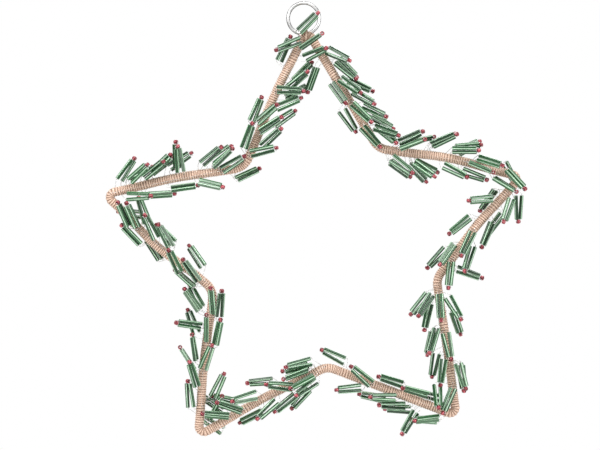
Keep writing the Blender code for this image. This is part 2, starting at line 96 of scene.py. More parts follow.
# Sprigs of each side: where each is rooted in percent of the side, and its lean off the side in degrees,
# outwards positive, in an outer, a middle and an inner row. Then the loose ones: row, root and lean.
sprigRows = (
    ("top_right", ((21, 31), (30, 17), (47, 34), (68, 32), (78, 31), (86, 39)),
     ((63, 15),), ((27, -51), (43, 3), (63, 3)),
     ((0, 31, 17), (0, 56, 27), (0, 72, 32), (0, 87, 15), (1, 46, 23), (1, 81, 9))),
    ("right_upper", ((13, 36), (36, 36), (53, 20), (68, -8), (87, -45)),
     ((62, -12),), ((6, -26), (23, -33), (46, -17), (59, -8)),
     ((0, 13, 32), (0, 20, 24), (0, 35, 35), (0, 50, 10), (0, 55, 38), (0, 89, -38), (1, 80, -22),
      (2, 9, -25), (2, 26, -26), (2, 27, -14))),
    ("right_lower", ((6, 40), (13, 18), (31, 4), (85, 110)),
     ((56, 13),), ((20, 5), (27, -45), (48, -11), (78, -4)),
     ((0, 41, 16), (0, 64, 20), (1, 83, 33), (2, 72, 3))),
    ("lower_right", ((14, 22), (25, 12), (62, 7)),
     ((7, -6), (39, 3), (79, -32)), ((3, -49), (17, -20), (35, -26), (53, -17)),
     ((0, 64, 0), (1, 57, -16), (2, 3, -43), (2, 37, -20), (2, 77, -8))),
    ("bottom_right", ((8, 25), (29, 81), (37, 20), (72, 24)),
     ((66, -20),), ((25, 5), (44, 2), (89, -4)),
     ((0, 6, 20), (0, 32, 21), (0, 46, 17), (0, 52, 10), (2, 14, 8))),
    ("bottom_left", ((4, 6), (18, 22), (28, 11), (41, 13), (84, -56)),
     ((65, -49),), ((8, -16), (37, -22), (51, -16), (77, -60)),
     ((0, 0, 0), (0, 54, 0), (1, 12, -9), (1, 27, -35), (1, 74, -33), (2, 6, -18), (2, 66, -39))),
    ("lower_left", ((19, 12), (34, 22), (69, 28), (75, 87), (85, 42)),
     ((46, -15), (65, 5)), ((27, -20), (63, -6), (82, 0)),
     ((0, 45, 38), (0, 50, 14), (0, 87, 35), (1, 84, 10), (2, 12, -22))),
    ("left_lower", ((11, 1), (25, -24), (41, -15), (58, -5)),
     ((67, -26),), ((16, -14), (41, -22), (64, -30)),
     ((1, 10, -14), (1, 69, -26), (2, 42, -4), (2, 52, -23), (2, 71, 34))),
    ("left_upper", ((11, 46), (20, 30), (36, 25), (54, 82), (71, 29)),
     ((84, 21),), ((16, -10), (30, -7), (47, -3), (67, -24), (93, 15)),
     ((0, 19, 17), (0, 30, 27), (0, 33, 33), (0, 48, 23), (0, 56, 85), (0, 78, 28), (0, 79, 32))),
    ("top_left", ((10, 4), (73, 0)),
     ((25, -34), (55, -69), (86, -32), (91, 136)), ((17, -24), (34, -32), (59, -27), (82, -44)),
     ((0, 29, 2), (1, 6, -54), (1, 30, -24), (1, 44, -43), (1, 91, -21), (2, 53, -37), (2, 66, -19))),
)
# Turn round the wrap from outwards to the front and its swing, rise to the front and its swing, way of the wire.
rowPlans = ((20, 30, 2, 22, 1), (90, 0, 8, 6, -1), (160, -30, 2, 22, 1))
rollSwing = 35

bends = {  # how the bead wire rises into a sprig, hooks out of it and turns back at the end of a row
    "enterBack": 1.8 * mm, "enterSlope": 0.35, "leaveAhead": 0.3 * mm, "hookBack": 0.9 * mm, "hookDrop": 0.3 * mm,
    "laceReach": 14.0 * mm, "laceTurn": math.radians(38), "endReach": 1.6 * mm, "endSpare": 1.0 * mm,
    "endTurn": math.radians(40), "endShare": 0.8, "advance": 0.5 * mm, "trailSpare": 0.9 * mm,
    "firstSpare": 3.5 * mm, "lastSpare": 0.5 * mm,
}
rooms = {"enter": 1.5, "taper": 0.7, "hook": 2.5, "seedRounding": 0.2 * mm}
giveWay = {  # what a sprig may change, and how much of each counts as one step away from the wanted place
    "turns": (0, -15, 15, -30, 30, 45), "rises": (0, -8, 8, -16, 16, -24, 24, 34), "rolls": (0, 40, -40, 80),
    "lifts": (0.0 * mm, 0.8 * mm, 1.8 * mm),
    "slides": (0.0 * mm, -1.0 * mm, 1.0 * mm, -2.0 * mm, 2.0 * mm, 3.5 * mm),
    "turnWorth": 18, "riseWorth": 9, "rollWorth": 60, "liftWorth": 0.65 * mm, "slideWorth": 0.4 * mm, "block": 48,
}


def unit(vectors):
    # Each vector divided by its length.
    return vectors / np.linalg.norm(vectors, axis=-1, keepdims=True)


def polar(bearing, reach):
    # Point in the star's plane: reach times (sin, 0, cos) of the bearing.
    angle = np.radians(bearing)
    return np.stack((np.sin(angle) * reach, np.zeros_like(angle), np.cos(angle) * reach), axis=-1)


def dots(a, b):
    # Dot product of each vector of a with its fellow of b.
    return np.sum(a * b, axis=-1)


def starCorners():
    # Corners from bearings and reaches, shifted so that the top bend stands before the ring's lowest part.
    # A corner's angle is acos of the dot product of the ways to its two neighbours.
    bearing, share, bow = np.array(star["corners"]).T
    points = polar(bearing, share * star["reach"])
    back = unit(np.roll(points, 1, axis=0) - points)
    ahead = unit(np.roll(points, -1, axis=0) - points)
    angles = np.arccos(np.clip(dots(back, ahead), -1, 1))
    sharpRise = star["tipBend"] * (1 / math.sin(angles[0] / 2) - 1)
    bendTop = hangingRing["wire"] - hangingRing["outside"] + hangingRing["overlap"] - wrapRadius
    tip = np.array((hangingRing["aside"], -starForward, bendTop + sharpRise))
    bends = np.where(np.arange(len(points)) % 2 == 0, star["tipBend"], star["notchBend"])
    return points - points[0] + tip, angles, bow, bends


corners, cornerAngles, cornerBows, cornerBends = starCorners()
cornerTrims = cornerBends / np.tan(cornerAngles / 2)


class Side:
    # One side of the star, from a corner to the next one clockwise.
    def __init__(self, index):
        after = (index + 1) % len(corners)
        self.start = corners[index]
        self.length = float(np.linalg.norm(corners[after] - self.start))
        self.along = unit(corners[after] - self.start)
        self.outward = np.cross(front, self.along)
        self.bow = cornerBows[index] * self.length
        self.first = cornerTrims[index]
        self.last = self.length - cornerTrims[after]

    def centre(self, station):
        # Start plus station along the side, plus a bow of sin squared between the two bends.
        station = np.asarray(station)[..., None]
        share = np.clip((station - self.first) / (self.last - self.first), 0, 1)
        return self.start + self.along * station + self.outward * self.bow * np.sin(math.pi * share) ** 2

    def radial(self, turn):
        # Outward times cos plus front times sin of the turn.
        turn = np.asarray(turn)[..., None]
        return self.outward * np.cos(turn) + front * np.sin(turn)

    def lace(self, station, turn, lift=0.0):
        # A point of the bead wire on the wrap: centre plus radial times the wire's distance and its lift.
        return self.centre(station) + self.radial(turn) * (laceRadius + np.asarray(lift)[..., None])


def segmentGaps(a0, a1, b0, b1):
    # Shortest distance of segments: the nearest shares s and t from the dot products, clipped to 0..1.
    u, v, r = a1 - a0, b1 - b0, a0 - b0
    a, e = dots(u, u) + tiny, dots(v, v) + tiny
    b, c, f = dots(u, v), dots(u, r), dots(v, r)
    spread = a * e - b * b
    s = np.where(spread > tinySpread, np.clip((b * f - c * e) / np.maximum(spread, tinySpread), 0, 1), 0.0)
    t = (b * s + f) / e
    s = np.where(t < 0, np.clip(-c / a, 0, 1), np.where(t > 1, np.clip((b - c) / a, 0, 1), s))
    t = np.clip(t, 0, 1)
    return np.linalg.norm(r + u * s[..., None] - v * t[..., None], axis=-1)


class Space:
    # What is already placed, as round-ended rods: starts, ends and radii.
    def __init__(self):
        self.starts, self.ends, self.radii = np.zeros((0, 3)), np.zeros((0, 3)), np.zeros(0)

    def add(self, starts, ends, radii):
        self.starts = np.vstack((self.starts, starts))
        self.ends = np.vstack((self.ends, ends))
        self.radii = np.concatenate((self.radii, radii))

    def near(self, point, reach):
        # The rods whose middle is within the reach plus half their length.
        middle, half = (self.starts + self.ends) / 2, np.linalg.norm(self.ends - self.starts, axis=1) / 2
        close = np.linalg.norm(middle - point, axis=1) - half < reach
        return self.starts[close], self.ends[close], self.radii[close]


def room(starts, ends, radii, others):
    # Least gap of each try's rods to the others: segment distance less both radii.
    if len(others[2]) == 0:
        return np.ones(len(starts))
    gaps = segmentGaps(starts[:, :, None], ends[:, :, None], others[0], others[1])
    return np.min(gaps - radii[:, None] - others[2], axis=(1, 2))


def sprigShapes(side, station, turn, lean, rise, roll, lift):
    # Many tries of one sprig at once: aim is the side's way leant outwards and risen to the front,
    # pair is the way across the two bugle beads, and the root stands off the wire by their half-width.
    up = side.radial(turn)
    flat = side.along * math.cos(lean) + side.outward * math.sin(lean)
    aim = unit(flat * np.cos(rise)[:, None] + front * np.sin(rise)[:, None])
    across = unit(np.cross(aim, front))
    pair = across * np.cos(roll)[:, None] + np.cross(aim, across) * np.sin(roll)[:, None]
    facing = dots(pair, up)
    pair = np.where((facing > 0)[:, None], -pair, pair)
    stack = pairHalf * np.abs(facing)
    height = stack + roomRadius + wireRadius + fits["rootRise"] + lift
    root = side.lace(station, turn, height)
    enterStation = station - bends["enterBack"] - bends["enterSlope"] * (height + stack)
    leaveStation = station + bends["leaveAhead"]
    second = root + pair * pairHalf
    return {
        "aim": aim, "pair": pair, "turn": turn, "first": root - pair * pairHalf, "second": second,
        "seed": root + aim * seedRise, "enterStation": enterStation, "leaveStation": leaveStation,
        "enter": side.lace(enterStation, turn), "leave": side.lace(leaveStation, turn),
        "hook": second - aim * bends["hookBack"] - up * bends["hookDrop"],
    }


def sprigRods(shape):
    # The two bugle beads, the seed bead and the wire into and out of them.
    far = shape["aim"] * beads["bugleLength"]
    halfSeed = shape["pair"] * (beads["seedLength"] / 2 - rooms["seedRounding"])
    first, second, enter = shape["first"], shape["second"], shape["enter"]
    midway = (enter + first) / 2
    starts = (first, second, shape["seed"] - halfSeed, enter, midway, second, shape["hook"])
    ends = (first + far, second + far, shape["seed"] + halfSeed, midway, first, shape["hook"], shape["leave"])
    radii = np.array((roomRadius, roomRadius, seedRadius, wireRadius * rooms["enter"],
                      roomRadius * rooms["taper"], wireRadius * rooms["hook"], wireRadius))
    return np.stack(starts, axis=1), np.stack(ends, axis=1), radii


def laceRun(side, start, end, way):
    # Stations and turns of the wire between two sprigs, going round the wrap past a row's end where way isn't 0.
    (stationA, turnA), (stationB, turnB), points = start, end, []
    if way:
        edge = (max if way > 0 else min)(stationA, stationB) + way * bends["endReach"]
        edge = min(max(edge, side.first - bends["endSpare"]), side.last + bends["endSpare"])
        steps = max(2, math.ceil(abs(turnB - turnA) / bends["endTurn"]))
        shares = (np.arange(steps + 1) + 0.5) / (steps + 1) * bends["endShare"]
        points += [(edge, turnA + (turnB - turnA) * share) for share in shares]
        stationA, turnA = points[-1]
    steps = max(math.ceil(abs(turnB - turnA) / bends["laceTurn"]),
                math.ceil(abs(stationB - stationA) / bends["laceReach"]))
    shares = np.arange(1, steps) / max(steps, 1)
    return points + [(stationA + (stationB - stationA) * share, turnA + (turnB - turnA) * share)
                     for share in shares]


def sortedTries():
    # Every way to give way, cheapest first. The cost is the sum of each change divided by its worth.
    changes = [giveWay[key] for key in ("turns", "rises", "rolls", "lifts", "slides")]
    rows = np.array(list(itertools.product(*changes)))
    size = np.abs(rows)
    tilts = (size[:, 0] / giveWay["turnWorth"] + size[:, 1] / giveWay["riseWorth"]
             + size[:, 2] / giveWay["rollWorth"])
    cost = tilts + size[:, 3] / giveWay["liftWorth"] + size[:, 4] / giveWay["slideWorth"]
    return rows[np.argsort(cost, kind="stable")]


tries = sortedTries()
taken, wrapRods = Space(), Space()


def insideBox(starts, ends, radii):
    # Least distance of each try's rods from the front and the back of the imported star, less their radii.
    depth = np.stack((starts[..., 1], ends[..., 1]))
    near, far = depth.min(axis=0) - radii - cadBox[0][1], cadBox[1][1] - depth.max(axis=0) - radii
    return np.minimum(near, far).min(axis=1) + fits["sprig"]


def placeSprig(side, plan, index, before, loose):
    # The first try that is clear of all that is placed, or else the roomiest one. Turn and rise swing by the cos
    # of the sprig's number times the golden angle, and the pair rolls by its sin.
    share, lean, turn, turnSwing, rise, riseSwing, way = plan
    swing, roll = math.cos(index * goldenTurn), rollSwing * math.sin(index * goldenTurn)
    station = min(max(share / 100 * side.length, side.first + bends["firstSpare"]), side.last - bends["lastSpare"])
    others = taken.near(side.centre(station), nearReach)
    wrap = wrapRods.near(side.centre(station), nearReach)
    best = None
    for first in range(0, len(tries), giveWay["block"]):
        dTurn, dRise, dRoll, lift, slide = tries[first:first + giveWay["block"]].T
        shape = sprigShapes(side, station + slide, np.radians(turn + turnSwing * swing + dTurn),
                            math.radians(lean), np.radians(rise + riseSwing * swing + dRise),
                            np.radians(roll + dRoll), lift)
        starts, ends, radii = sprigRods(shape)
        clear = np.minimum(room(starts, ends, radii, others), room(starts[:, 3:], ends[:, 3:], radii[3:], wrap))
        clear = np.minimum(clear, room(starts[:, :3], ends[:, :3], radii[:3], wrap) - wireLane)
        if loose:
            clear = np.minimum(clear, insideBox(starts, ends, radii))
        top = int(np.argmax(clear))
        if best is None or clear[top] > best[0]:
            best = (clear[top], {key: value[top] for key, value in shape.items()},
                    (starts[top], ends[top], radii), [])
        for pick in np.flatnonzero(clear > fits["sprig"]):
            entry = (shape["enterStation" if way > 0 else "leaveStation"][pick], shape["turn"][pick])
            lace = []
            rods = (starts[pick], ends[pick], radii)
            if before and not loose:
                turning = 0 if before[2] == way else before[2]
                lace = laceRun(side, before[:2], entry, turning)
                trail = np.array([side.lace(*spot) for spot in [before[:2]] + lace + [entry]])
                trail[0] += unit(trail[1] - trail[0]) * bends["trailSpare"]
                thin = np.full(len(trail) - 1, wireRadius)
                clearTrail = min(room(trail[None, :-1], trail[None, 1:], thin, others)[0],
                                 room(trail[None, :-1], trail[None, 1:], thin, wrap)[0])
                if not turning:
                    clearTrail = min(clearTrail, (entry[0] - before[0]) * way - bends["advance"])
                if clearTrail <= fits["sprig"]:
                    continue
                rods = (np.vstack((starts[pick], trail[:-1])), np.vstack((ends[pick], trail[1:])),
                        np.concatenate((radii, thin)))
            return float(clear[pick]), {key: value[pick] for key, value in shape.items()}, rods, lace
    return best


def closedLine(tipSteps, notchSteps, sideShares):
    # The frame's centre line: an arc round each corner's hub, then points of the bowed side. At a share s, the arc
    # is the hub plus (first sin((1 - s) sweep) + last sin(s sweep)) / sin(sweep).
    points = []
    for index, side in enumerate(starSides):
        before = starSides[index - 1]
        inward = unit(side.along - before.along)
        hub = corners[index] + inward * cornerBends[index] / math.sin(cornerAngles[index] / 2)
        first = corners[index] - before.along * cornerTrims[index] - hub
        last = corners[index] + side.along * cornerTrims[index] - hub
        sweep = math.acos(float(np.clip(dots(unit(first), unit(last)), -1, 1)))
        steps = tipSteps if index % 2 == 0 else notchSteps
        share = (np.arange(steps + 1) / steps)[:, None]
        points.append(hub + (first * np.sin((1 - share) * sweep) + last * np.sin(share * sweep)) / math.sin(sweep))
        points.append(side.centre(side.first + (side.last - side.first) * np.asarray(sideShares)))
    return np.vstack(points)


def ringLine(around):
    # Circle of the ring's middle radius about its hub, in the star's plane.
    hub = np.array((0.0, 0.0, hangingRing["wire"] - hangingRing["outside"] / 2))
    return hub + polar(np.arange(around) * 360 / around, (hangingRing["outside"] - hangingRing["wire"]) / 2)


tie = {"twine": 1.3 * mm, "behind": 1.0 * mm, "around": 120, "section": 16, "plies": 2, "plyDepth": 0.16,
       "plyPitch": 3.2 * mm, "fibreScale": 1.2}


def tieLine(around):
    # An upright oval through the ring and through the crook of the top point: middle + across cos + upright sin.
    reach = tie["twine"] / 2 + fits["node"]
    halfAngle = cornerAngles[0] / 2
    bendHub = corners[0][2] - star["tipBend"] / math.sin(halfAngle)
    crook = max(wrapRadius + reach - star["tipBend"], 0.0) / math.sin(halfAngle) + fits["node"]
    low = bendHub - crook
    high = bendHub + star["tipBend"] + wrapRadius + reach + fits["node"]
    near = -starForward - wrapRadius - reach - fits["node"]
    back = hangingRing["wire"] / 2 + reach + tie["behind"]
    angle = (np.arange(around) * 2 * math.pi / around)[:, None]
    middle = np.array((corners[0][0], (near + back) / 2, (low + high) / 2))
    return (middle + np.array((0.0, (back - near) / 2, 0.0)) * np.cos(angle)
            + np.array((0.0, 0.0, (high - low) / 2)) * np.sin(angle))


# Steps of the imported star's own lines, which the sprigs keep clear of.
packed = {"tipSteps": 4, "notchSteps": 2, "sideShares": (0.25, 0.5, 0.75), "ringSteps": 18, "tieSteps": 14}
starSides = [Side(index) for index in range(len(corners))]
cadLine = closedLine(packed["tipSteps"], packed["notchSteps"], packed["sideShares"])
wrapRods.add(np.roll(cadLine, 1, axis=0), cadLine, np.full(len(cadLine), wrapRadius))
for line, radius in ((ringLine(packed["ringSteps"]), hangingRing["wire"] / 2),
                     (tieLine(packed["tieSteps"]), tie["twine"] / 2)):
    taken.add(np.roll(line, 1, axis=0), line, np.full(len(line), radius))

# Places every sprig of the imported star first, in the wire's order, and then the loose ones among them.
sprigs = [[] for side in starSides]
laces = [[] for side in starSides]
count = 0
for side, placed, runs, (name, outer, middle, inner, loose) in zip(starSides, sprigs, laces, sprigRows):
    before, least = None, 1.0
    for row, rowPlan in zip((outer, middle, inner), rowPlans):
        way = rowPlan[-1]
        for share, lean in row[::way]:
            clear, shape, rods, lace = placeSprig(side, (share, lean, *rowPlan), count, before, False)
            shape["own"] = len(taken.radii)
            taken.add(*rods)
            placed.append((shape, way))
            runs.append(lace)
            before = (shape["leaveStation" if way > 0 else "enterStation"], shape["turn"], way)
            least = min(least, clear)
            count += 1
    print(name, len(placed), "sprigs, tightest", round(least / mm, 2), "mm")
for side, placed, (name, outer, middle, inner, loose) in zip(starSides, sprigs, sprigRows):
    least = 1.0
    for row, share, lean in loose:
        clear, shape, rods, lace = placeSprig(side, (share, lean, *rowPlans[row]), count, None, True)
        shape["own"] = len(taken.radii)
        taken.add(*rods)
        placed.append((shape, 0))
        least = min(least, clear)
        count += 1
    print(name, len(loose), "loose sprigs, tightest", round(least / mm, 2), "mm")
print(count, "sprigs placed")

splay = {"least": math.radians(0.0), "most": math.radians(4.0), "shares": (1.0, 0.75, 0.5, 0.3, 0.15, 0.0),
         "gap": 0.1 * mm, "dice": 5}


def splayPair(shape, widest):
    # Turns both beads about their tips, so that their roots part: way = aim cos + pair sin of the angle, which is
    # the largest share of the widest one that stays clear of the other sprigs and the wrap.
    rods = len(sprigRods(shapeStack(shape))[2])
    rest = np.ones(len(taken.radii), bool)
    rest[shape["own"]:shape["own"] + rods] = False
    others = taken.starts[rest], taken.ends[rest], taken.radii[rest]
    wrap = wrapRods.starts, wrapRods.ends, wrapRods.radii
    radius = np.array([roomRadius])
    for order, (key, sign) in enumerate((("first", 1), ("second", -1))):
        tip = shape[key] + shape["aim"] * beads["bugleLength"]
        for share in splay["shares"]:
            angle = widest * share
            way = shape["aim"] * math.cos(angle) + shape["pair"] * sign * math.sin(angle)
            root = tip - way * beads["bugleLength"]
            rod = root[None, None], tip[None, None]
            clear = min(room(*rod, radius, others)[0], room(*rod, radius, wrap)[0], insideBox(*rod, radius)[0])
            if clear > splay["gap"]:
                break
        shape[key + "Way"], shape[key + "Root"] = way, root
        taken.starts[shape["own"] + order] = root
    return angle


def shapeStack(shape):
    # One sprig as a stack of one try.
    return {key: np.asarray(value)[None] for key, value in shape.items()}


dice = np.random.default_rng(splay["dice"])
splays = [splayPair(shape, dice.uniform(splay["least"], splay["most"]))
          for placed in sprigs for shape, way in placed]
print("pairs splayed by", round(math.degrees(np.mean(splays)), 1), "degrees on average")


def gridQuads(count, rows, columns, closeRows=True):
    # Faces of `count` grids of rows by columns points, stored one after another. The last column joins the first,
    # and the last row too where the rows close.
    i = np.arange(rows if closeRows else rows - 1)[:, None]
    j = np.arange(columns)
    low, high = i * columns, (i + 1) % rows * columns
    ahead = (j + 1) % columns
    quads = np.stack((low + j, low + ahead, high + ahead, high + j), axis=-1).reshape(-1, 4)
    return (quads + np.arange(count)[:, None, None] * rows * columns).reshape(-1, 4)


def quadUv(u0, u1, v0, v1, shape):
    # UV of every face's corners, which go from (u0, v0) to (u1, v0), (u1, v1) and (u0, v1).
    u0, u1, v0, v1 = (np.broadcast_to(value, shape) for value in (u0, u1, v0, v1))
    return np.stack((u0, v0, u1, v0, u1, v1, u0, v1), axis=-1).reshape(-1, 2)


def addPiece(name, points, quads, finish, replaced=(), tone=None, uv=None, caps=(), sharpAt=None):
    # Puts points, quads and end caps into a mesh, with a tone for each point and a UV for each face corner.
    data = bpy.data.meshes.new(name)
    data.from_pydata(points.reshape(-1, 3).tolist(), [], quads.tolist() + list(caps))
    if tone is not None:
        values = np.ascontiguousarray(tone, np.float32)
        data.attributes.new("tone", "FLOAT", "POINT").data.foreach_set("value", values)
    if uv is not None:
        data.uv_layers.new(name="lay").data.foreach_set("uv", np.ascontiguousarray(uv, np.float32).ravel())
    data.polygons.foreach_set("use_smooth", np.arange(len(data.polygons)) < len(quads))
    if sharpAt is not None:
        data.set_sharp_from_angle(angle=math.radians(sharpAt))
    data.materials.append(finish)
    data.update()
    piece = bpy.data.objects.new(name, data)
    bpy.context.collection.objects.link(piece)
    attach(piece, "root")
    if replaced:
        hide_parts(*replaced)


class Value:
    # A socket of one material, so that sums, products and powers of it add Math nodes.
    def __init__(self, finish, socket):
        self.finish, self.socket = finish, socket

    def math(self, operation, *others):
        return self.finish.node("ShaderNodeMath", {"operation": operation}, dict(enumerate((self, *others))))

    def __add__(self, other):
        return self.math("ADD", other)

    __radd__ = __add__

    def __mul__(self, other):
        return self.math("MULTIPLY", other)

    def __sub__(self, other):
        return self.math("SUBTRACT", other)

    def __pow__(self, other):
        return self.math("POWER", other)


class Finish:
    # A material whose nodes come from their type, their settings and the values or links of their sockets.
    def __init__(self, name, plain):
        self.material = bpy.data.materials.new(name)
        self.material.use_nodes = True
        self.tree = self.material.node_tree
        self.shader = self.tree.nodes["Principled BSDF"]
        for key, value in plain.items():
            self.shader.inputs[key].default_value = value

    def node(self, kind, settings=None, inputs=None, output=0):
        made = self.tree.nodes.new(kind)
        for key, value in (settings or {}).items():
            setattr(made, key, value)
        for key, value in (inputs or {}).items():
            self.feed(made.inputs[key], value)
        return Value(self, made.outputs[output])

    def feed(self, socket, value):
        if isinstance(value, Value):
            self.tree.links.new(value.socket, socket)
        else:
            socket.default_value = value

    def mix(self, factor, a, b):
        # Colours a to b by the factor.
        a, b = (colour if isinstance(colour, Value) else (*colour, 1.0) for colour in (a, b))
        return self.node("ShaderNodeMix", {"data_type": "RGBA"}, {0: factor, 6: a, 7: b}, 2)

    def noise(self, vector, scale, detail, roughness=0.5):
        return self.node("ShaderNodeTexNoise", None,
                         {"Vector": vector, "Scale": scale, "Detail": detail, "Roughness": roughness})

    def cloud(self, scale, detail):
        # Noise in the piece's own coordinates.
        return self.noise(self.node("ShaderNodeTexCoord", None, None, 3), scale, detail)

    def lay(self):
        # The two values of the UV.
        split = self.node("ShaderNodeSeparateXYZ", None, {0: self.node("ShaderNodeUVMap", {"uv_map": "lay"})})
        return split, Value(self, split.socket.node.outputs[1])

    def tone(self):
        # The tone that addPiece gave each point.
        return self.node("ShaderNodeAttribute", {"attribute_name": "tone"}, None, 2)

    def edge(self):
        # How far the surface is seen edge on, from 0 to 1.
        return self.node("ShaderNodeLayerWeight", None, {"Blend": 0.5}, 1)

    def rise(self, value, ends):
        # From 0 to 1 as the value goes from the first end to the second.
        return self.node("ShaderNodeMapRange", None, {"Value": value, "From Min": ends[0], "From Max": ends[1]})

    def show(self, **sockets):
        for key, value in sockets.items():
            self.feed(self.shader.inputs[key.replace("_", " ")], value)
        return self.material

    def bump(self, height, strength, distance):
        return self.node("ShaderNodeBump", None, {"Height": height, "Strength": strength, "Distance": distance})


# The wound twine of the star. Its u is millimetres along the strand, and its v goes from 0 to 1 across it. Each
# noise is its whole numbers of waves round the star and the seed of its random draws.
twine = {
    "pitch": 1.1 * mm, "around": 16, "across": 6, "ribDepth": 0.36 * mm, "lean": 0.30 * mm, "leanPhase": 1.0,
    "wander": 0.9 * mm, "lumps": 0.045, "tipSteps": 20, "notchSteps": 16, "sideSteps": 61,
    "wanderNoise": ((23, 37, 61, 89), 1), "lumpNoise": ((31, 53, 97, 149, 211), 2),
    "toneNoise": ((41, 73, 131, 307, 383), 3),
    # the darkest colour below is painted shade in the grooves between the ribs
    "light": (0.93, 0.71, 0.57), "dark": (0.66, 0.45, 0.34), "paintedValleyShade": (0.28, 0.16, 0.11),
    "roughness": 0.82, "sheen": 0.1, "sheenRoughness": 0.5, "specular": 0.25, "slant": 1.3, "fibreScale": 0.5,
    "acrossScale": 9.0, "toneScale": 40.0, "fibreDetail": 4.0, "fibreRoughness": 0.65, "blotchScale": 90.0,
    "blotchDetail": 3.0, "crestPower": 1.3, "fibreShare": 0.75, "blotchShare": 0.35, "toneShare": 0.45,
    "shadeDrop": 0.28, "bump": 0.5, "bumpDepth": 0.12 * mm,
}


def twineFinish(name, fibreScale):
    # Colour runs from dark to light with fine fibres along the strand, and painted shade darkens it into the
    # valleys between the ribs.
    finish = Finish(name, {"Roughness": twine["roughness"], "Sheen Weight": twine["sheen"],
                           "Sheen Roughness": twine["sheenRoughness"], "Specular IOR Level": twine["specular"]})
    along, across = finish.lay()
    tone = finish.tone()
    slant = along + across * twine["slant"]
    strand = finish.node("ShaderNodeCombineXYZ", None, {
        0: slant * fibreScale, 1: across * twine["acrossScale"], 2: tone * twine["toneScale"]})
    fibres = finish.noise(strand, 1.0, twine["fibreDetail"], twine["fibreRoughness"])
    blotches = finish.cloud(twine["blotchScale"], twine["blotchDetail"])
    crest = (across * math.pi).math("SINE") ** twine["crestPower"]
    shade = fibres * twine["fibreShare"] + blotches * twine["blotchShare"] + tone * twine["toneShare"]
    body = finish.mix(shade - twine["shadeDrop"], twine["dark"], twine["light"])
    # painted shade: the valley colour darkens each rib towards its edges, where it meets the next
    colour = finish.mix(crest, twine["paintedValleyShade"], body)
    return finish.show(Base_Color=colour, Normal=finish.bump(fibres, twine["bump"], twine["bumpDepth"]))


def alongLine(line, stations):
    # Points and ways of a closed line at distances along it, by linear steps between its points.
    closed = np.vstack((line, line[:1]))
    steps = np.linalg.norm(np.diff(closed, axis=0), axis=1)
    marks = np.concatenate(([0.0], np.cumsum(steps)))
    middles = (marks[:-1] + marks[1:]) / 2
    ways = np.diff(closed, axis=0) / steps[:, None]
    stations = np.mod(stations, marks[-1])
    points = np.stack([np.interp(stations, marks, closed[:, k]) for k in range(3)], axis=-1)
    heads = np.stack([np.interp(stations, middles, ways[:, k], period=marks[-1]) for k in range(3)], axis=-1)
    return points, unit(heads), marks[-1]


def smoothNoise(shares, waves, seed):
    # Sum of sines with whole numbers of waves round the loop, so that it closes.
    dice = np.random.default_rng(seed)
    sizes, phases = dice.uniform(0.5, 1.0, len(waves)), dice.uniform(0, 2 * math.pi, len(waves))
    parts = np.sin(2 * math.pi * shares[..., None] * np.array(waves) + phases) * sizes
    return parts.sum(axis=-1) / sizes.sum()


def woundTwine(finish):
    # A point of the strand: centre line at pitch (t + v), turned by 2 pi t, at the wrap's radius less the rib's
    # depth times 1 - sin(pi v). Row i runs along the strand, column j across it, and the last column joins the
    # first of the turn after.
    sideShares = np.linspace(0, 1, twine["sideSteps"] + 1)[1:-1]
    line = closedLine(twine["tipSteps"], twine["notchSteps"], sideShares)
    length = alongLine(line, np.zeros(1))[2]
    turns = round(length / twine["pitch"])
    around, across = twine["around"], twine["across"]
    t = (np.arange(turns * around) / around)[:, None]
    v = np.arange(across + 1) / across
    place = t + v
    share = place / turns
    angle = 2 * math.pi * t
    station = share * length + twine["wander"] * smoothNoise(share, *twine["wanderNoise"])
    station = station + twine["lean"] * np.cos(angle + twine["leanPhase"])
    lumps = 1 + twine["lumps"] * (smoothNoise(share, *twine["lumpNoise"]) - 1) / 2
    centre, way, length = alongLine(line, station)
    outward = np.cross(front, way)
    crest = np.sin(math.pi * v[None, :])
    radius = wrapRadius * lumps - twine["ribDepth"] * (1 - crest)
    spoke = outward * np.cos(angle)[..., None] + front * np.sin(angle)[..., None]
    points = (centre + spoke * radius[..., None])[:, :-1]
    rows = len(points)
    i, j = np.arange(rows)[:, None], np.arange(across)
    after = (i + 1) % rows
    ahead = np.where(j + 1 < across, 0, around)
    column = (j + 1) % across
    quads = np.stack((i * across + j, after * across + j, (after + ahead) % rows * across + column,
                      (i + ahead) % rows * across + column), axis=-1).reshape(-1, 4)
    stretch = 2 * math.pi * wrapRadius / mm
    uv = quadUv(t * stretch, (t + 1 / around) * stretch, v[:-1], v[1:], (rows, across))
    tone = 0.5 + 0.5 * smoothNoise(share[:, :-1], *twine["toneNoise"])
    addPiece("woundTwine", points, quads, finish, ("wrapped_frame",), tone.ravel(), uv)


def tubeAlong(line, side, radius, section):
    # Closed tube: line + radius times (side cos + other sin), where other is across the way and the side.
    way = unit(np.roll(line, -1, axis=0) - np.roll(line, 1, axis=0))
    side = np.broadcast_to(side, line.shape)
    other = np.cross(way, side)
    angle = np.arange(section) * 2 * math.pi / section
    return (line[:, None] + (side[:, None] * np.cos(angle)[:, None]
                             + other[:, None] * np.sin(angle)[:, None]) * radius[..., None])


